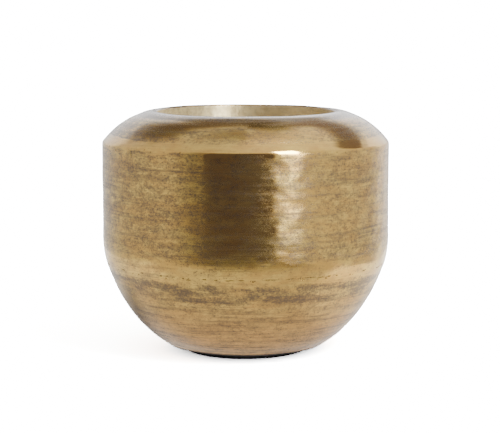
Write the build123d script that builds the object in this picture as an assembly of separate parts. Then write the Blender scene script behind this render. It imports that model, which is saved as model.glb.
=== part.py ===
"""Brass planter pot: a low round-bottomed pot with an upright belly, a sloping
shoulder and a turned-in mouth.

The body is built up from castings that are registered into each other on
rebated edges, welded from the outside and dressed flush:
  bowl           lower casting, flat floor and rounded side
  barrel         upright belly casting, its foot registers inside the bowl
  shoulder       sloping ring, its skirt registers inside the barrel
  rim_ring       flanged mouth ring with a vertical inner collar
  bowl_weld      filler metal in the V groove between bowl and barrel
  shoulder_weld  filler metal in the V groove along the shoulder corner
  rim_braze      braze fillet under the joint of shoulder and rim ring
  base_pad       felt disc that the pot stands on
  pad_adhesive   adhesive film that holds the felt to the bowl

Row frame: millimetres, +Z up, origin on the axis at the underside of the felt.
"""
from build123d import *
import os

# ---------------------------------------------------------------- dimensions
BELLY_R = 150.0        # outer radius of the upright belly
TOTAL_H = 251.7        # underside of the felt to the top of the rim
WALL_T = 3.5           # casting thickness
FLOOR_T = 4.5          # thickness of the bowl's flat floor

PAD_T = 6.6            # felt thickness
PAD_R = 65.0           # felt radius
GLUE_T = 0.2           # adhesive film thickness
GLUE_R = 64.2          # adhesive film radius
BASE_Z = PAD_T + GLUE_T
BASE_R = 82.0          # radius of the bowl's flat base

SEAM_Z = 95.0          # height of the bowl to barrel weld
TANGENT_Z = 124.8      # height where the rounded side becomes upright
CORNER_Z = 219.8       # height of the shoulder corner
SKIN_T = 2.0           # wall left outside a register rebate
LAP = 6.0              # length of each register
GROOVE_HALF = 2.0      # half width of the bowl weld groove at the surface
GROOVE_DEPTH = 1.6     # depth of the bowl weld groove
CORNER_LEG = 3.0       # leg of the shoulder weld along each face

MOUTH_R = 92.8         # inner radius of the mouth
COLLAR_T = 3.0         # thickness of the mouth's vertical collar
COLLAR_FOOT_Z = 226.8  # lower end of the collar
JOINT_R = 100.5        # radius of the joint between shoulder and rim ring
JOINT_TOP_Z = 251.35   # top surface at that joint
JOINT_FOOT_Z = 247.85  # underside at that joint
CREST_R = 95.4         # radius of the rim's highest circle
RIM_EDGE_Z = 249.3     # upper end of the mouth's cylindrical wall

# outer profile of the rounded side, (radius, height) from base to tangent
SIDE = [(BASE_R, BASE_Z), (97.3, 17.6), (109.6, 29.1), (119.6, 40.9),
        (127.7, 52.7), (134.4, 64.5), (140.0, 76.3), (144.6, 88.1),
        (148.2, 99.9), (149.6, 111.8), (BELLY_R, TANGENT_Z)]
# outer profile of the shoulder, (radius, height) from the corner inwards
SHOULDER = [(BELLY_R, CORNER_Z), (142.3, 228.6), (134.5, 235.5),
            (126.6, 241.1), (118.8, 245.3), (111.0, 248.5), (JOINT_R, JOINT_TOP_Z)]


# ------------------------------------------------------------------- helpers
def v(p):
    return Vector(p[0], p[1])


def param_at_height(edge, height):
    """Parameter of a rising profile edge at a given height."""
    lo, hi = 0.0, 1.0
    for _ in range(60):
        mid = (lo + hi) / 2
        if edge.position_at(mid).Y < height:
            lo = mid
        else:
            hi = mid
    return (lo + hi) / 2


def inward(edge, u, depth):
    """Point at a depth below the outer skin, towards the inside of the pot."""
    p, t = edge.position_at(u), edge.tangent_at(u)
    n = Vector(-t.Y, t.X)
    return Vector(p.X + n.X * depth, p.Y + n.Y * depth)


def turned(*edges):
    """Solid of revolution about Z of a closed profile in the radius, height plane."""
    face = make_face(Curve() + list(edges))
    return revolve(Plane.XZ * face, Axis.Z, 360)


def chain(*points):
    return [Line(a, b) for a, b in zip(points, points[1:])]


# ------------------------------------------------------- master outer profile
side = Spline(*[v(p) for p in SIDE], tangents=[Vector(0.85, 0.53), Vector(0, 1)])
slope = Spline(*[v(p) for p in SHOULDER], tangents=[Vector(-0.65, 0.76), Vector(-1, 0.03)])

side_len = side.length
u_seam = param_at_height(side, SEAM_Z)
u_low = u_seam - GROOVE_HALF / side_len
u_high = u_seam + GROOVE_HALF / side_len
u_lap = u_seam - LAP / side_len

# --------------------------------------------------------- bowl to barrel seam
groove_a = side.position_at(u_low)
groove_b = side.position_at(u_high)
root = inward(side, u_seam, GROOVE_DEPTH)
lap_top = inward(side, u_seam, SKIN_T)
lap_foot = inward(side, u_lap, SKIN_T)
lap_step = inward(side, u_lap, WALL_T)

# ------------------------------------------------------------------ the bowl
floor_z = BASE_Z + FLOOR_T
u_floor = param_at_height(side, floor_z + 9.0)
bowl_in = [inward(side, u_floor + (u_lap - u_floor) * i / 9, WALL_T) for i in range(10)]
floor_end = Vector(66.0, floor_z)
inner_bowl = Spline(floor_end, *bowl_in, tangents=[Vector(1, 0), side.tangent_at(u_lap)])
bowl = turned(
    *chain(Vector(0, floor_z), Vector(0, BASE_Z), v(SIDE[0])),
    side.trim(0.0, u_low),
    *chain(groove_a, root, lap_top, lap_foot, lap_step),
    inner_bowl,
    Line(floor_end, Vector(0, floor_z)),
)

# ----------------------------------------------------------------- the barrel
barrel_in = [inward(side, u_lap + (1 - u_lap) * i / 7, WALL_T) for i in range(8)]
inner_barrel = Spline(*barrel_in, tangents=[side.tangent_at(u_lap), Vector(0, 1)])
weld_a = Vector(BELLY_R, CORNER_Z - CORNER_LEG)
weld_root = Vector(BELLY_R - SKIN_T, CORNER_Z - 0.8)
skirt_foot = Vector(BELLY_R - SKIN_T, CORNER_Z - 0.8 - LAP)
skirt_step = Vector(BELLY_R - WALL_T, CORNER_Z - 0.8 - LAP)
barrel = turned(
    side.trim(u_high, 1.0),
    *chain(Vector(BELLY_R, TANGENT_Z), weld_a, weld_root, skirt_foot, skirt_step,
           Vector(BELLY_R - WALL_T, TANGENT_Z)),
    inner_barrel,
    *chain(lap_step, lap_foot, lap_top, root, groove_b),
)

# --------------------------------------------------------------- the shoulder
u_leg = CORNER_LEG / slope.length
weld_b = slope.position_at(u_leg)


flat_end = Vector(JOINT_R + 2.5, JOINT_FOOT_Z)
under_pts = [inward(slope, 0.06 + 0.84 * i / 8, WALL_T) for i in range(9)]
inner_corner = Vector(BELLY_R - WALL_T, CORNER_Z - 1.6)
inner_slope = Spline(inner_corner, *under_pts, flat_end,
                     tangents=[Vector(-0.65, 0.76), Vector(-1, 0.02)])
shoulder = turned(
    slope.trim(u_leg, 1.0),
    *chain(slope.position_at(1.0), Vector(JOINT_R, JOINT_FOOT_Z), flat_end),
    inner_slope,
    *chain(inner_corner, skirt_step, skirt_foot, weld_root, weld_b),
)

# --------------------------------------------------------------- the rim ring
lip_mid = Vector(MOUTH_R + 0.76, RIM_EDGE_Z + 1.64)
rim_ring = turned(
    *chain(Vector(JOINT_R, JOINT_FOOT_Z), Vector(JOINT_R, JOINT_TOP_Z)),
    ThreePointArc(Vector(JOINT_R, JOINT_TOP_Z), Vector(98.0, 251.60), Vector(CREST_R, TOTAL_H)),
    ThreePointArc(Vector(CREST_R, TOTAL_H), lip_mid, Vector(MOUTH_R, RIM_EDGE_Z)),
    *chain(Vector(MOUTH_R, RIM_EDGE_Z), Vector(MOUTH_R, COLLAR_FOOT_Z + 0.8),
           Vector(MOUTH_R + 0.8, COLLAR_FOOT_Z), Vector(MOUTH_R + COLLAR_T - 0.8, COLLAR_FOOT_Z),
           Vector(MOUTH_R + COLLAR_T, COLLAR_FOOT_Z + 0.8), Vector(MOUTH_R + COLLAR_T, JOINT_FOOT_Z),
           Vector(JOINT_R, JOINT_FOOT_Z)),
)

# -------------------------------------------------------------- filler metal
bowl_weld = turned(*chain(groove_a, groove_b, root, groove_a))
shoulder_weld = turned(
    TangentArc(weld_a, weld_b, tangent=Vector(0, 1)),
    *chain(weld_b, weld_root, weld_a),
)
rim_braze = turned(*chain(Vector(98.0, JOINT_FOOT_Z), Vector(103.0, JOINT_FOOT_Z),
                          Vector(101.3, JOINT_FOOT_Z - 1.5), Vector(99.4, JOINT_FOOT_Z - 1.5),
                          Vector(98.0, JOINT_FOOT_Z)))

# ---------------------------------------------------------------- standing pad
base_pad = turned(*chain(Vector(0, 0), Vector(PAD_R - 0.6, 0), Vector(PAD_R, 0.6),
                         Vector(PAD_R, PAD_T), Vector(0, PAD_T), Vector(0, 0)))
pad_adhesive = turned(*chain(Vector(0, PAD_T), Vector(GLUE_R, PAD_T),
                             Vector(GLUE_R, BASE_Z), Vector(0, BASE_Z), Vector(0, PAD_T)))

NODES = {
    "bowl": bowl,
    "barrel": barrel,
    "shoulder": shoulder,
    "rim_ring": rim_ring,
    "bowl_weld": bowl_weld,
    "shoulder_weld": shoulder_weld,
    "rim_braze": rim_braze,
    "base_pad": base_pad,
    "pad_adhesive": pad_adhesive,
}

os.makedirs("parts", exist_ok=True)
for name, shape in NODES.items():
    export_step(shape, f"parts/{name}.step")
    print(name, round(shape.volume, 1), "mm3")
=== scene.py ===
"""Looks of the brass planter pot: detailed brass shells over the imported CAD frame, studio and camera."""
import math

import bpy
import numpy as np
from mathutils import Matrix, Vector


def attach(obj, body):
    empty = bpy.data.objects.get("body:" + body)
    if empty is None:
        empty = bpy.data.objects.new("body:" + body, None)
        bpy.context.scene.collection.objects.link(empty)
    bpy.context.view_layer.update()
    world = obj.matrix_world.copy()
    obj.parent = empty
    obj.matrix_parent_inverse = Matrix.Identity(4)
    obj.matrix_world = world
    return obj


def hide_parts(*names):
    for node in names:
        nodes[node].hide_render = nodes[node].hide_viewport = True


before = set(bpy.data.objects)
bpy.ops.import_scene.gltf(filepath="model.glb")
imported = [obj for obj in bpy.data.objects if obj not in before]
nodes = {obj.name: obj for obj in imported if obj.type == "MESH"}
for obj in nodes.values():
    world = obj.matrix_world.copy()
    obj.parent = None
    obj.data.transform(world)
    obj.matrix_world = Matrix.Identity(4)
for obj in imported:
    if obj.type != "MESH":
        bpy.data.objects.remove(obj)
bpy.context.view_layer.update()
scene = bpy.context.scene
SEED = 20871

# ------------------------------------------------------------------ camera
cam_data = bpy.data.cameras.new("camera")
cam_data.sensor_width = 36.0
cam_data.lens = 128.96
cam_data.shift_x = 0.0088
cam_data.clip_start = 0.05
cam_data.clip_end = 600.0
cam = bpy.data.objects.new("camera", cam_data)
cam.location = (0.0, -1.86914, 0.38036)
cam.rotation_euler = (math.radians(82.656), 0.0, 0.0)
scene.collection.objects.link(cam)
scene.camera = cam
scene.view_settings.view_transform = "AgX"
scene.view_settings.look = "None"

# ------------------------------------------------------------- master profile
MM = 0.001
UP = 2.8               # the heights below are from a plane this far above the ground, in mm
BASE_R, BASE_Z = 82.0, 4.0
CORNER_Z = 217.0
WALL = 3.5


class Cubic:
    """C2 cubic spline through (t, v) with given end slopes."""

    def __init__(self, t, v, d0, d1):
        t, v = np.asarray(t, float), np.asarray(v, float)
        n = len(t)
        h = np.diff(t)
        a = np.zeros((n, n))
        b = np.zeros(n)
        a[0, 0] = a[-1, -1] = 1.0
        b[0], b[-1] = d0, d1
        for i in range(1, n - 1):
            a[i, i - 1] = 1 / h[i - 1]
            a[i, i] = 2 * (1 / h[i - 1] + 1 / h[i])
            a[i, i + 1] = 1 / h[i]
            b[i] = 3 * ((v[i] - v[i - 1]) / h[i - 1] ** 2 + (v[i + 1] - v[i]) / h[i] ** 2)
        self.t, self.v, self.d, self.h = t, v, np.linalg.solve(a, b), h

    def __call__(self, x):
        x = np.asarray(x, float)
        i = np.clip(np.searchsorted(self.t, x, side="right") - 1, 0, len(self.h) - 1)
        u = (x - self.t[i]) / self.h[i]
        h = self.h[i]
        return ((1 + 2 * u) * (1 - u) ** 2 * self.v[i] + u * (1 - u) ** 2 * h * self.d[i]
                + u * u * (3 - 2 * u) * self.v[i + 1] + u * u * (u - 1) * h * self.d[i + 1])


def spline_path(points, start, end, n=900):
    """Dense (r, z) path through points with unit start and end directions."""
    p = np.array(points, float)
    t = np.r_[0, np.cumsum(np.hypot(*np.diff(p, axis=0).T))]
    s, e = np.array(start) / np.hypot(*start), np.array(end) / np.hypot(*end)
    x = np.linspace(0, t[-1], n)
    return np.c_[Cubic(t, p[:, 0], s[0], e[0])(x), Cubic(t, p[:, 1], s[1], e[1])(x)]


SIDE = [(BASE_R, BASE_Z), (89.6, 9.3), (97.3, 14.8), (109.6, 26.3), (119.6, 38.1), (127.7, 49.9),
        (134.4, 61.7), (140.0, 73.5), (144.6, 85.3), (148.1, 97.1), (149.35, 105.0), (149.9, 114.0),
        (150.0, 124.0)]
SLOPE = [(150.0, CORNER_Z), (142.3, 225.8), (134.5, 232.7), (126.6, 238.3), (118.8, 242.5),
         (111.0, 245.7), (100.5, 248.55)]
side_path = spline_path(SIDE, (0.85, 0.53), (0, 1))
slope_path = spline_path(SLOPE, (-0.65, 0.76), (-1, 0.03))
crest = np.array([(100.5, 248.55), (99.0, 248.72), (97.5, 248.84), (96.2, 248.9), (95.4, 248.9)])
lip_t = np.linspace(0, math.pi / 2, 16)
lip = np.c_[92.8 + 2.6 * (1 - np.sin(lip_t)), 246.3 + 2.6 * np.cos(lip_t)]


def arclength(path):
    return np.r_[0, np.cumsum(np.hypot(*np.diff(path, axis=0).T))]


def resample(path, step, ends=None):
    """Points along a path at about step, finer near the path's ends where ends=(first, last) steps are given."""
    s = arclength(path)
    n = max(2, int(round(s[-1] / step)))
    u = np.linspace(0, s[-1], n + 1)
    if ends:
        u = np.unique(np.r_[u, ends[0], s[-1] - ends[1]])
    return np.c_[np.interp(u, s, path[:, 0]), np.interp(u, s, path[:, 1])], u


def cut(path, z0, z1):
    """The stretch of a rising path between two heights."""
    keep = (path[:, 1] > z0) & (path[:, 1] < z1)
    r = np.interp([z0, z1], path[:, 1], path[:, 0])
    return np.vstack([[r[0], z0], path[keep], [r[1], z1]])


# ------------------------------------------------------- hand-made unevenness
rng = np.random.default_rng(SEED)
modes = []
for _ in range(26):            # slow out-of-round and dents
    m = int(rng.integers(2, 12))
    k = 2 * math.pi / rng.uniform(50, 160)
    modes.append((m, k, rng.uniform(0, 2 * math.pi), 0.075 / (1 + 0.12 * m * m) ** 0.5 * rng.normal()))
for _ in range(30):            # ripples left by the turning tool, nearly even all round
    m = int(rng.integers(0, 3))
    wl = rng.uniform(7, 34)
    modes.append((m, 2 * math.pi / wl, rng.uniform(0, 2 * math.pi), 0.00042 * wl * rng.normal()))


def uneven(phi, s):
    """Offset along the outward normal, in mm, at azimuth phi and profile length s (mm); never proud of the design."""
    d = np.zeros(np.broadcast(phi, s).shape)
    for m, k, p, a in modes:
        d += a * np.cos(m * phi + k * s + p)
    return d - 0.28




def wobble(phi, seed, lo, hi, amp):
    """A periodic curve of azimuth, for hand-ground edges."""
    g = np.random.default_rng(seed)
    out = np.zeros_like(phi)
    for m in range(lo, hi):
        out += g.normal() * np.cos(m * phi + g.uniform(0, 2 * math.pi)) / (1 + (m - lo) * 0.18)
    return amp * out / max(1e-9, np.abs(out).max())


# ------------------------------------------------------------------- meshing
def normals_2d(path, closed=False):
    t = np.gradient(path, axis=0)
    n = np.c_[t[:, 1], -t[:, 0]]
    return n / np.maximum(np.hypot(n[:, 0], n[:, 1])[:, None], 1e-9)


inner_faces = {}


def shell(name, outer, s_outer, inner, cols, shape=None, s0=0.0, inside_from=None, up=UP):
    """Closed ring: outer skin rows (r, z) going up and inner rows coming back, turned about Z.

    shape(phi, s, r, z, nr, nz) gives how far the outer skin moves in r and z, and how open its pores are.
    """
    phi = np.arange(cols) * 2 * math.pi / cols
    rows = np.vstack([outer, inner])
    n_out = normals_2d(outer)
    R = np.repeat(rows[:, :1], cols, 1)
    Z = np.repeat(rows[:, 1:], cols, 1)
    gap = np.hypot(*np.diff(np.vstack([outer[-1:], inner]), axis=0).T)
    s_in = s_outer[-1] + s0 + np.cumsum(gap)
    S = np.repeat(np.r_[s_outer + s0, s_in][:, None], cols, 1)
    k = len(outer)
    if inside_from is None:
        inside = np.r_[np.zeros(k), np.ones(len(inner))]
    else:
        inside = np.r_[(s_outer >= inside_from).astype(float), np.ones(len(inner))]
    pore = np.zeros_like(R)
    if shape is not None:
        dr, dz, hole = shape(phi[None, :], (s_outer + s0)[:, None], outer[:, :1], outer[:, 1:],
                             n_out[:, :1], n_out[:, 1:])
        R[:k] += dr
        Z[:k] += dz
        pore[:k] = hole
    x = R * np.sin(phi)[None, :] * MM
    y = -R * np.cos(phi)[None, :] * MM
    co = np.stack([x, y, (Z + up) * MM], -1).reshape(-1, 3)
    n_rows = len(rows)
    i = np.arange(n_rows)[:, None]
    j = np.arange(cols)[None, :]
    i2, j2 = (i + 1) % n_rows, (j + 1) % cols
    quads = np.stack([i * cols + j, i * cols + j2, i2 * cols + j2, i2 * cols + j], -1).reshape(-1, 4)
    poles = np.nonzero(rows[:, 0] == 0.0)[0]
    fold = np.arange(n_rows * cols)
    for p in poles:
        fold[p * cols:(p + 1) * cols] = p * cols
    quads = fold[quads]
    faces, sizes = [], []
    same_a, same_b = quads[:, 0] == quads[:, 1], quads[:, 2] == quads[:, 3]
    for part in (quads[~same_a & ~same_b], quads[same_a & ~same_b][:, [0, 2, 3]], quads[~same_a & same_b][:, [0, 1, 2]]):
        faces.append(part.ravel())
        sizes.append(np.full(len(part), part.shape[1]))
    faces, sizes = np.concatenate(faces), np.concatenate(sizes)
    used, faces = np.unique(faces, return_inverse=True)
    row_of = used // cols
    me = bpy.data.meshes.new(name)
    me.vertices.add(len(used))
    me.vertices.foreach_set("co", co[used].astype(np.float32).ravel())
    me.loops.add(len(faces))
    me.loops.foreach_set("vertex_index", faces.astype(np.int32).ravel())
    me.polygons.add(len(sizes))
    me.polygons.foreach_set("loop_start", np.r_[0, np.cumsum(sizes)[:-1]].astype(np.int32))
    me.update(calc_edges=True)
    me.polygons.foreach_set("use_smooth", np.ones(len(sizes), bool))
    deep_v = np.repeat(inside[:, None], cols, 1).reshape(-1)[used][faces]
    deep = np.minimum.reduceat(deep_v, np.r_[0, np.cumsum(sizes)[:-1]]) > 0.5
    inner_faces[name] = deep.astype(np.int32)
    for label, field in (("prof", S * MM), ("pore", pore)):
        at = me.attributes.new(label, "FLOAT", "POINT")
        at.data.foreach_set("value", field.reshape(-1)[used].astype(np.float32))
    # sharp edges where the section turns a corner
    d = np.diff(np.vstack([rows, rows[:1]]), axis=0)
    d /= np.maximum(np.hypot(d[:, 0], d[:, 1])[:, None], 1e-9)
    turn = np.degrees(np.arccos(np.clip((d * np.roll(d, 1, axis=0)).sum(1), -1, 1)))
    sharp_rows = set(np.nonzero(turn > 30)[0].tolist())
    ev = np.empty(len(me.edges) * 2, np.int32)
    me.edges.foreach_get("vertices", ev)
    ev = ev.reshape(-1, 2)
    same = row_of[ev[:, 0]] == row_of[ev[:, 1]]
    sharp = same & np.isin(row_of[ev[:, 0]], list(sharp_rows))
    se = me.attributes.new("sharp_edge", "BOOLEAN", "EDGE")
    se.data.foreach_set("value", sharp)
    me.update()
    ob = bpy.data.objects.new(name, me)
    scene.collection.objects.link(ob)
    return ob


def along_normal(phi, s, r, z, nr, nz):
    d = uneven(phi, s)
    return d * nr, d * nz, 0.0


def inset(path, depth):
    n = normals_2d(path)
    return path - n * depth


# profile length at the main heights
full = np.vstack([side_path, [[150.0, CORNER_Z]], slope_path[1:], crest[1:], lip[1:]])
S_full = arclength(full)
S_SEAM = float(np.interp(92.2, side_path[:, 1], arclength(side_path)))
S_CORNER = float(arclength(np.vstack([side_path, [[150.0, CORNER_Z]]]))[-1])
S_JOINT = S_CORNER + float(arclength(slope_path)[-1])

GROOVE = 2.0
CORNER_DOWN = 9.0          # how far the dressed band of the shoulder edge reaches down the wall
CORNER_IN = 9.0            # and how far it reaches up the slope
low = cut(side_path, BASE_Z, 92.2 - GROOVE * 0.95)
weld = cut(side_path, 92.2 - GROOVE * 0.95, 92.2 + GROOVE * 0.95)
high = np.vstack([cut(side_path, 92.2 + GROOVE * 0.95, 124.0), [[150.0, CORNER_Z - CORNER_DOWN]]])
root = inset(weld, 1.6)[len(weld) // 2][None]          # bottom of the welding groove
keep = arclength(slope_path)
under_slope = inset(slope_path, WALL)
side_in = inset(side_path, WALL)

# bowl: the spun lower half, with its solid floor
o, s = resample(low, 1.35, (0.3, 0.2))
inner = side_in[(side_in[:, 1] > 17.0) & (side_path[:, 1] < 92.2)][::-1]
inner = resample(inner, 6.0)[0]
floor_in = np.array([(84.0, 12.0), (76.0, 9.5), (66.0, 8.5), (50.0, 8.5), (34.0, 8.5), (18.0, 8.5), (7.0, 8.5), (0.0, 8.5)])
floor_out = np.array([(0.0, BASE_Z), (9.0, BASE_Z), (26.0, BASE_Z), (44.0, BASE_Z), (62.0, BASE_Z), (74.0, BASE_Z)])
bowl = shell("bowl_brass", o, s, np.vstack([root, inner, floor_in, floor_out]), 720, along_normal, 0.0)
S_LOW = float(s[-1])


def sink(d, hole, phi, s, pits):
    """Presses pores and nicks (azimuth deg, profile mm, length mm, width mm, depth mm, slant) into the skin."""
    for deg, sc, length, w, depth, slant in pits:
        p = math.radians(deg)
        half = length / 2 / 148.0
        dp = (phi - p + math.pi) % (2 * math.pi) - math.pi
        near = np.abs(dp[0]) < half * 1.5 + 0.012
        if not near.any():
            continue
        q = dp[:, near]
        u = q / max(half, 1e-5)
        line = sc + slant * q * 148.0 + 0.22 * w * np.sin(u * 4.1 + deg) + 0.12 * w * np.sin(u * 11.0 + deg * 3)
        e = np.clip(np.abs(u), 0, 2.2) ** 4 + ((s - line) / (0.5 * w)) ** 2
        e = np.exp(-e)
        d[:, near] -= depth * e
        hole[:, near] = np.maximum(hole[:, near], np.clip(e * 1.25, 0, 1))


# weld bead of the girth seam, ground flush, with the pores that the grinding opened
o, s = resample(weld, 0.30)
g = np.random.default_rng(SEED + 5)
seam_pits = [(-62.2, -1.6, 0.8, 0.7, 0.35, 0), (-57.5, 0.4, 5.0, 0.45, 0.25, -0.16), (-47.0, -1.5, 1.0, 0.7, 0.3, 0),
             (-34.8, 0.6, 2.2, 0.6, 0.3, 0.2), (-32.5, -1.6, 1.2, 0.7, 0.3, 0), (-24.8, 0.4, 1.6, 0.5, 0.3, 0),
             (-22.6, -1.1, 3.6, 0.5, 0.25, 0.1), (-16.0, 0.4, 3.0, 0.45, 0.25, -0.1), (-11.4, 0.1, 2.6, 0.4, 0.2, 0.1),
             (-6.0, 0.0, 6.5, 0.38, 0.22, 0.02), (-1.6, 0.3, 4.0, 0.38, 0.22, -0.04), (2.8, -1.5, 1.3, 0.9, 0.45, 0.0),
             (9.6, 0.5, 9.0, 0.42, 0.24, 0.01), (17.5, 0.6, 6.0, 0.55, 0.32, 0.08), (21.4, 0.9, 5.0, 0.5, 0.3, 0.06),
             (25.6, 1.0, 8.0, 0.6, 0.36, -0.02), (30.2, 0.5, 6.0, 0.5, 0.3, -0.04), (22.5, -1.5, 2.6, 0.8, 0.4, 0.2),
             (29.0, -1.3, 1.6, 0.6, 0.3, 0.0), (32.8, -1.3, 1.8, 0.9, 0.42, 0.0), (34.2, 0.6, 2.4, 0.6, 0.3, 0.15),
             (38.0, 0.4, 1.6, 0.55, 0.3, 0.0), (45.6, -0.9, 1.2, 0.6, 0.3, 0.4), (54.4, 0.7, 5.0, 0.5, 0.3, 0.14)]
at_deg = 62.0
while at_deg < 296.0:
    at_deg += g.exponential(3.2) + 0.6
    run = g.random() < 0.45
    seam_pits.append((at_deg, g.normal() * 0.75, g.uniform(2.0, 8.0) if run else g.uniform(0.6, 1.6),
                      g.uniform(0.38, 0.55) if run else g.uniform(0.5, 0.85), g.uniform(0.2, 0.42), g.normal() * 0.08))
for _ in range(60):            # pin holes scattered along the bead
    seam_pits.append((g.uniform(0, 360), float(np.clip(g.normal() * 0.9, -1.6, 1.6)), g.uniform(0.5, 0.8),
                      g.uniform(0.4, 0.6), g.uniform(0.12, 0.3), 0.0))
seam_pits = [(a, S_SEAM + b, length * 1.35, w * 1.45, depth, slant) for a, b, length, w, depth, slant in seam_pits]


def porous(phi, s, r, z, nr, nz):
    d = uneven(phi, s)
    hole = np.zeros_like(d)
    fade = np.clip(np.minimum(s - s.min(), s.max() - s) / 0.35, 0, 1)
    dent = np.zeros_like(d)
    sink(dent, hole, phi, s, seam_pits)
    d = d + dent * fade
    return d * nr, d * nz, hole * fade


bowl_weld = shell("bowl_weld_bead", o, s, root, 3200, porous, S_LOW)
S_WELD = S_LOW + float(s[-1])

# barrel: the rolled wall
o, s = resample(high, 1.30, (0.2, 0.2))
inner = np.vstack([side_in[side_path[:, 1] > 92.2], [[146.5, CORNER_Z - CORNER_DOWN]]])[::-1]
inner = np.vstack([resample(inner, 9.0)[0], root])
barrel = shell("barrel_brass", o, s, inner, 720, along_normal, S_WELD)
S_BARREL = S_WELD + float(s[-1])

# dressed edge between barrel and shoulder: rounded and flatted by hand, so it wanders all round
upper_stub = slope_path[keep <= CORNER_IN]
corner_path = np.vstack([[[150.0, CORNER_Z - CORNER_DOWN]], [[150.0, CORNER_Z - CORNER_DOWN / 2]], upper_stub])
o, s = resample(corner_path, 0.40)
corner_s = S_BARREL + CORNER_DOWN
corner_nicks = [(-49.4, -5.0, 1.1, 6.0, 0.16, 0.9), (-42.0, 0.4, 1.4, 0.9, 0.3, 0.3), (-38.6, -1.6, 1.2, 0.8, 0.25, 0.0),
                (-25.2, -0.6, 1.6, 0.9, 0.25, 0.0), (-61.0, -3.6, 2.2, 0.7, 0.2, -0.2), (41.0, -2.2, 1.5, 0.8, 0.22, 0.0),
                (36.8, -1.2, 1.8, 0.7, 0.22, 0.3), (57.0, -1.5, 1.5, 0.7, 0.22, 0.0)]
at_deg = 64.0
while at_deg < 290.0:
    at_deg += g.exponential(9.0) + 2.0
    corner_nicks.append((at_deg, g.normal() * 1.6 - 1.0, g.uniform(0.8, 2.4), g.uniform(0.6, 1.0), g.uniform(0.12, 0.3), g.normal() * 0.3))
corner_nicks = [(a, corner_s + b, *rest) for a, b, *rest in corner_nicks]


def bump_at(phi, deg, width):
    dp = (phi - math.radians(deg) + math.pi) % (2 * math.pi) - math.pi
    return np.exp(-(dp / math.radians(width)) ** 2)


def dressed(phi, s, r, z, nr, nz):
    x = s - corner_s
    # soft rounding of the edge: width t0 each side, moved in along the bisector
    t0 = 1.9 + wobble(phi, SEED + 11, 2, 22, 0.7) + 0.9 * bump_at(phi, 17, 9)
    t = np.clip(1 - np.abs(x) / t0, 0, 1)
    back = 0.175 * t0 * t * t
    # flat left by the file on the wall side: width w, a few degrees of tilt
    w = 2.6 + wobble(phi, SEED + 12, 2, 30, 1.6) + 3.4 * bump_at(phi, -40, 15) + 3.6 * bump_at(phi, 27, 5.5)
    w = np.clip(w - 1.6 * bump_at(phi, 2, 14), 0.6, CORNER_DOWN - 1.4)
    tilt = 0.085 + 0.05 * bump_at(phi, -40, 18)
    run = np.clip(x + w, 0, None)
    soft = 0.9
    fall = tilt * (np.sqrt(run * run + soft * soft) - soft)
    # above the edge the flat dies out into the slope
    fall = fall * np.where(x < 0, 1.0, np.clip(1 - x / 5.0, 0, 1) ** 2 * 1.0)
    d = uneven(phi, s)
    hole = np.zeros_like(d)
    sink(d, hole, phi, s, corner_nicks)
    return d * nr - back * 0.938 - fall * 0.97, d * nz - back * 0.346 - fall * 0.10, hole


inside_edge = [under_slope[np.searchsorted(keep, v)] for v in (CORNER_IN, 6.5, 4.0, 2.0)]
corner = shell("shoulder_weld_bead", o, s,
               np.array([*inside_edge, [146.45, 214.6], [146.5, 212.5], [146.5, CORNER_Z - CORNER_DOWN]]),
               1800, dressed, S_BARREL)
S_CORNER_END = S_BARREL + float(s[-1])

# shoulder: the pressed ring
sl = slope_path[keep >= CORNER_IN]
o, s = resample(sl, 1.1, (0.2, 0.2))
under = resample(under_slope[keep >= CORNER_IN][::-1], 5.0)[0]
shoulder = shell("shoulder_brass", o, s, under, 720, along_normal, S_CORNER_END)
S_SHOULDER = S_CORNER_END + float(s[-1])

# rim ring with its collar
collar = np.array([[92.8, z] for z in (245.4, 244.0, 242.0, 240.0, 238.0, 236.0, 233.0, 230.0, 227.0, 224.9)])
top = np.vstack([resample(crest, 0.8)[0], lip[1:], collar])
s = arclength(top)
rim = shell("rim_ring_brass", top, s,
            np.array([[93.2, 224.2], [94.2, 224.0], [95.2, 224.4], [95.8, 225.2], [95.8, 235.0], [95.8, 244.6],
                      [96.4, 245.2], [98.4, 245.1], [100.5, 245.05]]), 960, along_normal, S_SHOULDER,
            inside_from=float(s[-len(collar) - 5]))

# thick felt disc under the base: rounded at its edges, with loose fibres standing out of its side and face
bottom = np.c_[np.r_[0.0, np.linspace(1.5, 63.1, 98)], np.zeros(99)]
side = np.vstack([[[63.7, 0.03], [64.15, 0.16], [64.45, 0.42], [64.6, 0.8]],
                  np.c_[np.full(13, 64.6), np.linspace(1.2, 5.7, 13)],
                  [[64.55, 6.05], [64.35, 6.35], [64.0, 6.54], [63.5, 6.6]]])
felt_out = np.vstack([bottom, side])
g_felt = np.random.default_rng(SEED + 40)


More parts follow.
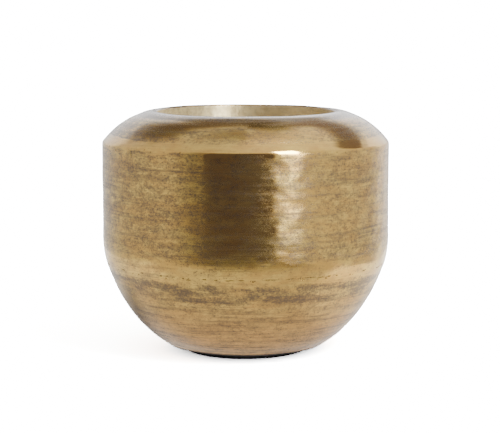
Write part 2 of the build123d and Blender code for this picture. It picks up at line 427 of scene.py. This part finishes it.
def matted(phi, s, r, z, nr, nz):
    shape = (len(s), phi.shape[1])
    lumps = g_felt.normal(size=shape)
    lumps = (lumps + np.roll(lumps, 1, 1) + np.roll(lumps, -1, 1) + np.roll(lumps, 1, 0) + np.roll(lumps, -1, 0)) / 5
    fibre = np.zeros(shape)
    for _ in range(5200):
        i, j = int(g_felt.integers(2, shape[0] - 2)), int(g_felt.integers(0, shape[1]))
        length, lean = int(g_felt.integers(3, 9)), g_felt.uniform(-1.0, 1.0)
        h = g_felt.uniform(0.05, 0.14)
        for q in range(length):
            a, b = min(shape[0] - 2, max(1, i + int(round(q * lean)))), (j + q) % shape[1]
            fibre[a, b] = max(fibre[a, b], h)
    free = np.clip(r / 4.0, 0, 1)
    out = (0.05 * lumps + fibre) * free
    wave = 0.06 * np.cos(3 * phi + 1.0) + 0.05 * np.cos(7 * phi + 2.2) + 0.04 * np.cos(13 * phi)
    edge = np.clip((r - 59.0) / 4.0, 0, 1)
    # the face rests on the ground, so its relief goes up into the felt; the side's goes outwards
    up = np.clip(0.13 - out, 0.0, 0.3) * free
    return np.clip(out, -0.1, 0.2) * np.abs(nr) * edge + wave * edge * 0.6, np.where(z < 0.02, up * (nz < -0.5), 0.0), 0.0


felt_top = np.array([[60.0, 6.6], [45.0, 6.6], [30.0, 6.6], [15.0, 6.6], [0.0, 6.6]])
felt = shell("base_felt", felt_out, arclength(felt_out), felt_top, 700, matted, 0.0, up=0.0)

pieces = {"bowl": bowl, "bowl_weld": bowl_weld, "barrel": barrel, "shoulder_weld": corner,
          "shoulder": shoulder, "rim_ring": rim}


# ------------------------------------------------------------------ materials
class Nodes:
    """Short names for the shader nodes used below."""

    def __init__(self, name):
        self.mat = bpy.data.materials.new(name)
        self.mat.use_nodes = True
        self.nt = self.mat.node_tree
        self.nt.nodes.clear()
        self.out = self.nt.nodes.new("ShaderNodeOutputMaterial")

    def new(self, kind, **props):
        n = self.nt.nodes.new(kind)
        for k, v in props.items():
            setattr(n, k, v)
        return n

    def put(self, socket, value):
        if isinstance(value, bpy.types.NodeSocket):
            self.nt.links.new(value, socket)
        elif value is not None:
            socket.default_value = value

    def math(self, op, a, b=None, c=None, clamp=False):
        n = self.new("ShaderNodeMath", operation=op, use_clamp=clamp)
        self.put(n.inputs[0], a)
        self.put(n.inputs[1], b)
        self.put(n.inputs[2], c)
        return n.outputs[0]

    def vmath(self, op, a, b=None):
        n = self.new("ShaderNodeVectorMath", operation=op)
        self.put(n.inputs[0], a)
        self.put(n.inputs[1], b)
        return n.outputs[0]

    def noise(self, vec, scale, detail=2.0, rough=0.5, dist=0.0):
        n = self.new("ShaderNodeTexNoise")
        self.put(n.inputs["Vector"], vec)
        n.inputs["Scale"].default_value = scale
        n.inputs["Detail"].default_value = detail
        n.inputs["Roughness"].default_value = rough
        n.inputs["Distortion"].default_value = dist
        return n.outputs["Fac"]

    def ramp(self, x, lo, hi, a=0.0, b=1.0, smooth=True):
        n = self.new("ShaderNodeMapRange", interpolation_type="SMOOTHSTEP" if smooth else "LINEAR")
        self.put(n.inputs["Value"], x)
        self.put(n.inputs["From Min"], lo)
        self.put(n.inputs["From Max"], hi)
        self.put(n.inputs["To Min"], a)
        self.put(n.inputs["To Max"], b)
        return n.outputs["Result"]

    def mix(self, f, a, b, blend="MIX"):
        n = self.new("ShaderNodeMix", data_type="RGBA", blend_type=blend)
        self.put(n.inputs[0], f)
        self.put(n.inputs[6], a)
        self.put(n.inputs[7], b)
        return n.outputs[2]

    def combine(self, x, y, z):
        n = self.new("ShaderNodeCombineXYZ")
        self.put(n.inputs[0], x)
        self.put(n.inputs[1], y)
        self.put(n.inputs[2], z)
        return n.outputs[0]

    def band(self, x, lo, hi, soft):
        """1 between lo and hi, falling to 0 over soft on each side."""
        a = self.ramp(x, lo - soft, lo)
        b = self.ramp(x, hi, hi + soft, 1.0, 0.0)
        return self.math("MULTIPLY", a, b)


def brass(name, inner=False):
    """Aged brass: rubbed yellow metal, dark patina in specks and brush lines, thin lacquer over it. Inside it is paler
    and coarsely brushed, with a painted highlight towards -x and painted shade towards +x.
    """
    k = Nodes(name)
    tc = k.new("ShaderNodeTexCoord")
    P = tc.outputs["Object"]
    sep = k.new("ShaderNodeSeparateXYZ")
    k.put(sep.inputs[0], P)
    x, y, z = sep.outputs
    s = k.new("ShaderNodeAttribute", attribute_name="prof").outputs["Fac"]
    pore = k.new("ShaderNodeAttribute", attribute_name="pore").outputs["Fac"]

    def stretched(around, up, seed=0.0):
        return k.combine(k.math("MULTIPLY", x, around), k.math("MULTIPLY", y, around),
                         k.math("MULTIPLY_ADD", s, up, seed))

    # zones along the profile, their borders wandering a little
    seam, corner_at = S_SEAM * MM, S_CORNER * MM
    drift = k.math("MULTIPLY_ADD", k.noise(P, 24.0, 3.0, 0.6), 0.010, -0.005)
    s_w = k.math("ADD", s, drift)
    polished = k.band(s_w, corner_at + 0.0002, corner_at + 0.0100, 0.0016)
    filed = k.math("MULTIPLY", k.band(s_w, corner_at - 0.0035, corner_at + 0.001, 0.0015),
                   k.ramp(k.noise(P, 30.0, 1.0, 0.5), 0.42, 0.62))
    polished = k.math("MAXIMUM", polished, filed)
    seam_clean = k.band(s_w, seam - 0.005, seam + 0.014, 0.007)
    patch_band = k.band(s_w, seam - 0.0245, seam - 0.010, 0.006)
    on_wall = k.band(s_w, seam + 0.018, corner_at - 0.004, 0.006)
    low_down = k.ramp(s_w, seam - 0.030, seam - 0.045)

    # how much dark patina a place holds
    cloud = k.noise(stretched(15.0, 24.0, 3.1), 1.0, 3.0, 0.6)
    cloud2 = k.noise(stretched(42.0, 95.0, 8.7), 1.0, 3.0, 0.6)
    dens = k.math("MULTIPLY", x, -1.2)
    dens = k.math("ADD", dens, k.math("MULTIPLY_ADD", cloud, 2.0, -1.0))
    dens = k.math("ADD", dens, k.math("MULTIPLY_ADD", cloud2, 1.5, -0.75))
    dens = k.math("ADD", dens, k.math("MULTIPLY", on_wall, 0.32))
    patchy = k.ramp(k.noise(stretched(22.0, 60.0, 6.2), 1.0, 2.0, 0.5), 0.42, 0.60, 0.0, 1.40)
    dens = k.math("ADD", dens, k.math("MULTIPLY", patch_band, patchy))
    dens = k.math("SUBTRACT", dens, k.math("MULTIPLY", polished, 1.6))
    dens = k.math("SUBTRACT", dens, k.math("MULTIPLY", seam_clean, 0.50))
    dens = k.math("SUBTRACT", dens, k.ramp(z, 0.234, 0.244, 0.0, 0.35))
    # painted reflection: more dark patina at both sides of the shoulder slope, where the dark room is mirrored
    side_lobe_reflection = k.math("MULTIPLY", k.ramp(k.math("ABSOLUTE", x), 0.065, 0.115), k.ramp(z, 0.222, 0.229))
    dens = k.math("ADD", dens, k.math("MULTIPLY", side_lobe_reflection, 0.75))
    dens = k.math("ADD", dens, k.ramp(z, 0.2462, 0.2486, 0.0, 1.4))

    # soft brown mottling, under finer specks that gather in clusters
    mottle = k.noise(stretched(105.0, 150.0, 2.2), 1.0, 4.0, 0.68)
    fine = k.noise(stretched(560.0, 760.0), 1.0, 1.0, 0.5, 0.2)
    coarse = k.noise(stretched(270.0, 400.0, 4.4), 1.0, 2.0, 0.6, 0.3)
    soft = k.ramp(k.math("ADD", mottle, k.math("MULTIPLY", dens, 0.11)), 0.40, 0.68)
    mid = k.ramp(k.math("ADD", coarse, k.math("MULTIPLY", dens, 0.10)), 0.50, 0.68)
    dots = k.ramp(k.math("ADD", k.math("MULTIPLY_ADD", fine, 0.72, k.math("MULTIPLY", mottle, 0.28)), k.math("MULTIPLY", dens, 0.085)), 0.545, 0.650)
    # turning and brush lines: broad soft bands with thin scratches in them
    line = k.noise(stretched(16.0, 820.0, 1.7), 1.0, 2.0, 0.6)
    bands = k.noise(stretched(13.0, 215.0, 5.9), 1.0, 3.0, 0.55)
    tilt_s = k.math("ADD", dens, k.math("MULTIPLY", low_down, 0.35))
    band = k.ramp(k.math("ADD", bands, k.math("MULTIPLY", tilt_s, 0.075)), 0.50, 0.68)
    thin = k.ramp(k.math("ADD", line, k.math("MULTIPLY", tilt_s, 0.06)), 0.55, 0.70)
    band = k.math("MULTIPLY", band, k.math("MULTIPLY_ADD", coarse, 0.9, 0.30, clamp=True))
    mid = k.math("MULTIPLY", mid, k.math("MULTIPLY_ADD", low_down, -0.45, 1.0))
    thin = k.math("MULTIPLY", thin, k.math("MULTIPLY_ADD", low_down, 0.8, 1.0))
    # a few long broken streaks
    streak = k.ramp(k.math("ADD", k.noise(stretched(7.0, 300.0, 12.3), 1.0, 2.0, 0.5), k.math("MULTIPLY", dens, 0.03)), 0.575, 0.68)
    streak = k.math("MULTIPLY", k.math("MULTIPLY", streak, on_wall), k.math("MULTIPLY_ADD", coarse, 1.3, 0.15, clamp=True))
    dark = k.math("MULTIPLY", soft, 0.26)
    for part, weight in ((mid, 0.42), (dots, 0.66), (band, 0.52), (thin, 0.36), (streak, 0.50)):
        dark = k.math("MULTIPLY_ADD", k.math("MULTIPLY", part, weight), k.math("SUBTRACT", 1.0, dark), dark)
    if inner:
        dark = k.math("MULTIPLY", dark, 0.10)

    # metal colour: yellow brass, redder low down, small drifts in tone
    tone = k.noise(stretched(26.0, 70.0, 11.0), 1.0, 4.0, 0.65)
    if inner:
        c = k.mix(k.ramp(tone, 0.35, 0.68), (0.86, 0.680, 0.350, 1.0), (0.76, 0.580, 0.270, 1.0))
        # painted highlight and painted shade: the inside goes paler towards -x, where the window light falls, and
        # browner towards +x
        c = k.mix(k.ramp(x, -0.012, -0.036, 0.0, 0.75), c, (0.98, 0.815, 0.450, 1.0))
        c = k.mix(k.ramp(x, -0.010, 0.050, 0.0, 0.62), c, (0.50, 0.370, 0.190, 1.0))
        c = k.mix(k.ramp(k.noise(P, 170.0, 3.0, 0.65), 0.40, 0.66, 0.0, 0.50), c, (0.52, 0.375, 0.170, 1.0))
    else:
        c = k.mix(k.ramp(tone, 0.36, 0.64), (0.762, 0.506, 0.134, 1.0), (0.645, 0.380, 0.097, 1.0))
        c = k.mix(k.ramp(z, 0.100, 0.016, 0.0, 0.90), c, (0.630, 0.330, 0.112, 1.0))
        c = k.mix(k.ramp(mottle, 0.36, 0.58, 0.0, 0.28), c, (0.50, 0.292, 0.096, 1.0))
    c = k.mix(k.math("MULTIPLY", dark, 0.93), c, (0.104, 0.078, 0.068, 1.0))
    # painted shade: pores and nicks go near black for the shade down in the holes, which the mesh dents only shallowly
    c = k.mix(k.math("MULTIPLY", pore, 0.94), c, (0.020, 0.014, 0.009, 1.0))

    # painted shade where the metal turns under near the ground, and a brown line on the inner lip of the mouth
    r = k.math("SQRT", k.math("ADD", k.math("MULTIPLY", x, x), k.math("MULTIPLY", y, y)))
    lip = k.math("MULTIPLY", k.band(r, 0.0945, 0.0968, 0.0008), k.ramp(z, 0.2485, 0.2495))
    c = k.mix(k.math("MULTIPLY", lip, 0.92), c, (0.150, 0.098, 0.055, 1.0))
    # painted shade: below about 10 mm the metal goes near black, rough and barely metallic, standing in for the shade
    # under the pot
    base_contact_shade = k.ramp(z, 0.0098, 0.0079)
    c = k.mix(k.math("MULTIPLY", base_contact_shade, 0.95), c, (0.014, 0.012, 0.011, 1.0))

    clean = k.math("MAXIMUM", polished, k.math("MULTIPLY", seam_clean, 0.4))
    rough = k.math("MULTIPLY_ADD", dark, 0.24, 0.52 if inner else 0.142)
    rough = k.math("SUBTRACT", rough, k.math("MULTIPLY", clean, 0.05))
    rough = k.math("ADD", rough, k.math("MULTIPLY_ADD", line, 0.10, -0.05))
    rough = k.math("ADD", rough, k.math("MULTIPLY_ADD", bands, 0.16, -0.08))
    rough = k.math("ADD", rough, k.math("MULTIPLY", pore, 0.60))
    rough = k.math("ADD", rough, k.math("MULTIPLY", base_contact_shade, 0.55))

    # relief: shallow specks, brush lines, faint orange peel
    waves = k.noise(stretched(14.0, 60.0, 9.3), 1.0, 1.0, 0.5)
    h = k.math("MULTIPLY", line, 0.000024)
    h = k.math("MULTIPLY_ADD", waves, 0.00025, h)
    h = k.math("MULTIPLY_ADD", bands, 0.000085, h)
    h = k.math("MULTIPLY_ADD", dots, -0.000020, h)
    h = k.math("MULTIPLY_ADD", fine, 0.000036, h)
    h = k.math("MULTIPLY_ADD", coarse, 0.000036, h)
    if inner:
        h = k.math("MULTIPLY_ADD", k.noise(P, 150.0, 2.0, 0.5), 0.00040, h)
    else:
        h = k.math("SUBTRACT", h, 0.000216)
        dents = k.math("SUBTRACT", k.noise(stretched(40.0, 75.0, 4.7), 1.0, 1.0, 0.5), 0.5)
        dents = k.math("MULTIPLY", dents, k.math("MULTIPLY", on_wall, k.ramp(x, -0.02, 0.03)))
        h = k.math("MULTIPLY_ADD", dents, 0.0013, h)
        h = k.math("MULTIPLY", h, k.ramp(z, 0.216, 0.226, 1.0, 0.55))
    h = k.math("MULTIPLY", h, k.math("MULTIPLY_ADD", clean, -0.85, 1.0))
    bump = k.new("ShaderNodeBump")
    bump.inputs["Strength"].default_value = 1.0
    bump.inputs["Distance"].default_value = 1.0
    k.put(bump.inputs["Height"], h)

    b = k.new("ShaderNodeBsdfPrincipled")
    k.put(b.inputs["Base Color"], c)
    if inner:
        b.inputs["Metallic"].default_value = 0.82
    else:
        # less metallic in the painted shade at the bottom
        k.put(b.inputs["Metallic"], k.math("MULTIPLY_ADD", base_contact_shade, -0.95, 1.0))
    k.put(b.inputs["Roughness"], rough)
    k.put(b.inputs["Normal"], bump.outputs[0])
    b.inputs["Anisotropic"].default_value = 0.88 if inner else 0.5
    b.inputs["Anisotropic Rotation"].default_value = 0.25
    k.put(b.inputs["Tangent"], k.new("ShaderNodeTangent", direction_type="RADIAL", axis="Z").outputs[0])
    # the lacquer is worn thin low down
    coat = k.math("ADD", k.ramp(z, 0.050, 0.200, 0.03, 0.19, smooth=False), k.ramp(z, 0.217, 0.228, 0.0, 0.34))
    coat = k.math("ADD", coat, k.ramp(z, 0.2440, 0.2482, 0.0, 0.46))
    if inner:
        b.inputs["Coat Weight"].default_value = 0.12
    else:
        k.put(b.inputs["Coat Weight"], k.math("MULTIPLY", coat, k.math("MULTIPLY_ADD", lip, -0.85, 1.0)))
    b.inputs["Coat Roughness"].default_value = 0.07
    b.inputs["Coat IOR"].default_value = 1.5
    k.put(k.out.inputs["Surface"], b.outputs[0])
    return k.mat


def simple(name, color, rough, metallic=0.0, bump_scale=0.0, bump_h=0.0, vary=0.25):
    k = Nodes(name)
    tc = k.new("ShaderNodeTexCoord")
    n1 = k.noise(tc.outputs["Object"], 900.0, 3.0, 0.6)
    c = k.mix(k.ramp(n1, 0.3, 0.7), (*[v * (1 - vary) for v in color], 1.0), (*[min(1, v * (1 + vary)) for v in color], 1.0))
    b = k.new("ShaderNodeBsdfPrincipled")
    k.put(b.inputs["Base Color"], c)
    b.inputs["Metallic"].default_value = metallic
    b.inputs["Roughness"].default_value = rough
    if bump_h:
        bump = k.new("ShaderNodeBump")
        bump.inputs["Strength"].default_value = 1.0
        bump.inputs["Distance"].default_value = 1.0
        k.put(bump.inputs["Height"], k.math("MULTIPLY", k.noise(tc.outputs["Object"], bump_scale, 2.0, 0.6), bump_h))
        k.put(b.inputs["Normal"], bump.outputs[0])
    k.put(k.out.inputs["Surface"], b.outputs[0])
    return k.mat


def felt_material():
    """Needled black felt: tangled fibres, a few paler ones, slight fuzz."""
    k = Nodes("black_felt")
    P = k.new("ShaderNodeTexCoord").outputs["Object"]
    warp = k.new("ShaderNodeTexNoise")
    k.put(warp.inputs["Vector"], P)
    warp.inputs["Scale"].default_value = 260.0
    bend = k.vmath("MULTIPLY", warp.outputs["Color"], (0.004, 0.004, 0.004))
    swirl = k.vmath("ADD", P, bend)
    fibres = None
    for turn, size in ((0.4, 1500.0), (1.6, 1700.0), (2.7, 1300.0)):
        m = k.new("ShaderNodeMapping")
        k.put(m.inputs["Vector"], swirl)
        m.inputs["Rotation"].default_value = (0.3 * turn, 0.2, turn)
        m.inputs["Scale"].default_value = (1.0, 0.16, 1.0)
        n = k.noise(m.outputs[0], size, 2.0, 0.6)
        fibres = n if fibres is None else k.math("MAXIMUM", fibres, n)
    clump = k.noise(P, 420.0, 3.0, 0.6)
    c = k.mix(k.ramp(fibres, 0.52, 0.74), (0.0075, 0.0075, 0.008, 1.0), (0.030, 0.030, 0.031, 1.0))
    c = k.mix(k.ramp(clump, 0.35, 0.7, 0.0, 0.5), c, (0.016, 0.015, 0.015, 1.0))
    c = k.mix(k.ramp(fibres, 0.76, 0.80, 0.0, 0.7), c, (0.085, 0.083, 0.080, 1.0))
    b = k.new("ShaderNodeBsdfPrincipled")
    k.put(b.inputs["Base Color"], c)
    k.put(b.inputs["Roughness"], k.ramp(clump, 0.3, 0.7, 0.86, 0.97))
    b.inputs["Specular IOR Level"].default_value = 0.2
    b.inputs["Sheen Weight"].default_value = 0.06
    b.inputs["Sheen Roughness"].default_value = 0.5
    bump = k.new("ShaderNodeBump")
    bump.inputs["Strength"].default_value = 1.0
    bump.inputs["Distance"].default_value = 1.0
    k.put(bump.inputs["Height"], k.math("MULTIPLY_ADD", fibres, 0.00022, k.math("MULTIPLY", clump, 0.0003)))
    k.put(b.inputs["Normal"], bump.outputs[0])
    k.put(k.out.inputs["Surface"], b.outputs[0])
    return k.mat


brass_mat = brass("antique_brass")
inner_mat = brass("brushed_brass_inside", inner=True)
felt_mat = felt_material()
glue_mat = simple("clear_film", (0.62, 0.58, 0.50), 0.35)


def wear(obj, mat):
    obj.data.materials.clear()
    obj.data.materials.append(mat)


for node, piece in pieces.items():
    wear(piece, brass_mat)
    piece.data.materials.append(inner_mat)
    piece.data.polygons.foreach_set("material_index", inner_faces[piece.name])
    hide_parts(node)
    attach(piece, "root")
wear(felt, felt_mat)
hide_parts("base_pad")
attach(felt, "root")
for node, mat in (("rim_braze", brass_mat), ("pad_adhesive", glue_mat)):
    for sl_ in nodes[node].material_slots:
        sl_.material = mat
    if not nodes[node].material_slots:
        nodes[node].data.materials.append(mat)


# --------------------------------------------------------------------- studio
def sheet_mesh(name, corners, around=1):
    me = bpy.data.meshes.new(name)
    me.from_pydata(corners, [], [list(range(len(corners)))])
    ob = bpy.data.objects.new(name, me)
    scene.collection.objects.link(ob)
    return ob


def floor_material():
    """Pale matt floor. The camera sees it a few stops up, as an over-lit studio floor is."""
    k = Nodes("pale_floor")
    lp = k.new("ShaderNodeLightPath")
    b = k.new("ShaderNodeBsdfDiffuse")
    k.put(b.inputs["Color"], k.mix(lp.outputs["Is Camera Ray"], (0.80, 0.80, 0.79, 1.0), (18.0, 18.0, 17.95, 1.0)))
    k.put(k.out.inputs["Surface"], b.outputs[0])
    return k.mat


t = np.arange(96) * 2 * math.pi / 96
floor = sheet_mesh("floor", [(300 * math.sin(a), 300 * math.cos(a), -0.0003) for a in -t])
floor.data.materials.append(floor_material())
floor.visible_glossy = False


def table_material():
    """Bright table round the pot, as the metal sees it: an emitter with painted light, brighter to the right, then
    left, dark past its front edge, and painted shade close round the foot.
    """
    k = Nodes("table_glow")
    tc = k.new("ShaderNodeTexCoord")
    sep = k.new("ShaderNodeSeparateXYZ")
    k.put(sep.inputs[0], tc.outputs["Object"])
    x, y, z = sep.outputs
    side = k.math("ADD", k.math("MULTIPLY", 0.55, k.ramp(x, 0.06, 0.17)), k.math("MULTIPLY", 0.7, k.ramp(x, 0.19, 0.27)))
    level = k.math("ADD", 1.02, k.math("MULTIPLY", side, k.ramp(y, -0.20, -0.135)))
    level = k.math("ADD", level, k.math("MULTIPLY", 0.45, k.math("MULTIPLY", k.ramp(x, -0.14, -0.26), k.ramp(y, -0.21, -0.12))))
    level = k.math("ADD", level, k.math("MULTIPLY", 0.5, k.ramp(y, 0.20, 0.45)))
    r = k.math("SQRT", k.math("ADD", k.math("MULTIPLY", x, x), k.math("MULTIPLY", y, y)))
    # painted shade: darker close round the foot, where the pot shades the table
    level = k.math("MULTIPLY", level, k.ramp(r, 0.063, 0.082, 0.12, 1.0))
    level = k.math("MULTIPLY", level, k.ramp(y, -0.60, -0.24, 0.13, 1.0))
    # the shadow the vessel throws to its back left
    shade = k.math("MULTIPLY", k.math("MULTIPLY", k.ramp(x, 0.01, -0.07), k.ramp(y, -0.05, 0.03)), k.ramp(r, 0.34, 0.15))
    level = k.math("MULTIPLY", level, k.math("MULTIPLY_ADD", shade, -0.62, 1.0))
    e = k.new("ShaderNodeEmission")
    k.put(e.inputs["Color"], k.combine(level, level, k.math("MULTIPLY", level, 0.97)))
    k.put(k.out.inputs["Surface"], e.outputs[0])
    return k.mat


table = sheet_mesh("table", [(-0.46, -0.62, -0.0002), (0.40, -0.62, -0.0002), (0.40, 1.8, -0.0002), (-0.46, 1.8, -0.0002)])
table.data.materials.append(table_material())
for flag in ("visible_camera", "visible_diffuse", "visible_shadow", "visible_transmission", "visible_volume_scatter"):
    setattr(table, flag, False)


def key_card():
    """Tall soft window to the right of the camera: brighter towards its top, seen by the metal only as light."""
    def at(az, r, z):
        a = math.radians(az)
        return (r * math.sin(a), -r * math.cos(a), z)

    ob = sheet_mesh("key_window", [at(28.2, 1.2, 0.012), at(39.0, 1.2, 0.012), at(42.0, 1.05, 0.55), at(50.0, 0.75, 1.30), at(28.0, 0.80, 1.36), at(26.0, 1.1, 0.55)])
    k = Nodes("window_light")
    tc = k.new("ShaderNodeTexCoord")
    sep = k.new("ShaderNodeSeparateXYZ")
    k.put(sep.inputs[0], tc.outputs["Object"])
    level = k.math("ADD", k.ramp(sep.outputs[2], 0.02, 0.45, 3.1, 10.0), k.ramp(sep.outputs[2], 0.50, 0.95, 0.0, 32.0))
    e = k.new("ShaderNodeEmission")
    e.inputs["Color"].default_value = (0.97, 1.02, 1.06, 1.0)
    k.put(e.inputs["Strength"], level)
    k.put(k.out.inputs["Surface"], e.outputs[0])
    ob.data.materials.append(k.mat)
    for flag in ("visible_camera", "visible_shadow", "visible_transmission", "visible_volume_scatter"):
        setattr(ob, flag, False)
    return ob


key_card()


def studio_world():
    w = bpy.data.worlds.new("studio")
    scene.world = w
    w.use_nodes = True
    k = Nodes.__new__(Nodes)
    k.nt = w.node_tree
    k.nt.nodes.clear()
    out = k.new("ShaderNodeOutputWorld")
    tc = k.new("ShaderNodeTexCoord")
    sep = k.new("ShaderNodeSeparateXYZ")
    k.put(sep.inputs[0], tc.outputs["Generated"])
    x, y, z = sep.outputs
    deg = 180 / math.pi
    az = k.math("MULTIPLY", k.math("ARCTAN2", x, k.math("MULTIPLY", y, -1.0)), deg)
    el = k.math("MULTIPLY", k.math("ARCSINE", z), deg)

    def box(a0, a1, e0, e1, sa0, sa1, se0, se1):
        a = k.math("MULTIPLY", k.ramp(az, a0 - sa0, a0 + sa0), k.ramp(az, a1 - sa1, a1 + sa1, 1.0, 0.0))
        e = k.math("MULTIPLY", k.ramp(el, e0 - se0, e0 + se0), k.ramp(el, e1 - se1, e1 + se1, 1.0, 0.0))
        return k.math("MULTIPLY", a, e)

    # walls and ceiling, brighter on the right
    right = k.ramp(az, -70.0, 60.0)
    wall = k.math("MULTIPLY_ADD", right, 0.12, 0.98)
    high = k.math("MULTIPLY", k.ramp(el, 25.0, 60.0), k.math("MULTIPLY_ADD", right, 0.42, -0.10))
    level = k.math("ADD", wall, high)
    level = k.math("SUBTRACT", level, k.math("MULTIPLY", k.ramp(el, 60.0, 75.0), k.math("MULTIPLY", k.ramp(k.math("ABSOLUTE", az), 90.0, 160.0), 0.45)))
    col = k.combine(level, k.math("MULTIPLY", level, 0.995), k.math("MULTIPLY", level, 0.97))

    def over(col, mask, rgb):
        return k.mix(mask, col, (*rgb, 1.0))

    # white backdrop behind the pot, left and right of the far side
    col = over(col, box(124.0, 400.0, -90.0, 37.0, 1.0, 1.0, 1.0, 2.0), (1.25, 1.25, 1.25))
    col = over(col, box(133.0, 400.0, -90.0, 28.0, 2.0, 1.0, 1.0, 2.0), (2.15, 2.15, 2.18))
    col = over(col, box(-400.0, -137.0, -90.0, 36.0, 1.0, 7.0, 1.0, 3.0), (1.62, 1.62, 1.65))
    col = over(col, k.math("MULTIPLY", k.ramp(el, 4.0, 9.0, 1.0, 0.0), k.ramp(k.math("ABSOLUTE", az), 126.0, 138.0)), (1.30, 1.30, 1.31))
    col = over(col, box(-160.0, -131.0, -90.0, 5.0, 4.0, 4.0, 1.0, 3.0), (1.06, 1.06, 1.06))
    col = over(col, box(131.0, 160.0, -90.0, 5.0, 4.0, 4.0, 1.0, 3.0), (1.78, 1.78, 1.80))
    # dark gap between backdrop and ceiling
    col = over(col, box(-400.0, -115.0, 44.0, 60.0, 1.0, 6.0, 3.0, 5.0), (0.55, 0.52, 0.48))
    col = over(col, box(-163.0, -133.0, 31.0, 46.0, 7.0, 4.0, 3.0, 3.0), (0.42, 0.39, 0.36))
    col = over(col, box(-400.0, -126.0, 39.0, 57.5, 1.0, 4.0, 2.0, 4.0), (0.20, 0.176, 0.160))
    col = over(col, box(150.0, 174.0, 58.0, 71.0, 6.0, 4.0, 2.0, 3.0), (0.55, 0.51, 0.46))
    col = over(col, box(158.0, 400.0, 43.5, 65.5, 8.0, 1.0, 2.0, 2.0), (0.11, 0.100, 0.092))
    col = over(col, box(109.0, 170.0, 32.5, 47.5, 2.5, 6.0, 1.0, 3.0), (0.33, 0.295, 0.32))
    # shade on the left of the dark part of the room, then the dark itself
    col = over(col, k.math("MULTIPLY", box(-52.0, 10.0, -90.0, 46.0, 14.0, 1.0, 1.0, 9.0), 0.80), (0.26, 0.25, 0.24))
    col = over(col, box(-33.0, 23.0, -90.0, 44.0, 0.8, 1.2, 1.0, 8.0), (0.155, 0.142, 0.196))
    lp = k.new("ShaderNodeLightPath")
    col = k.mix(lp.outputs["Is Diffuse Ray"], col, (1.0, 1.0, 1.0, 1.0))
    col = k.mix(lp.outputs["Is Camera Ray"], col, (24.0, 24.0, 24.0, 1.0))
    bg = k.new("ShaderNodeBackground")
    k.put(bg.inputs["Color"], col)
    bg.inputs["Strength"].default_value = 1.0
    k.put(out.inputs["Surface"], bg.outputs[0])


studio_world()
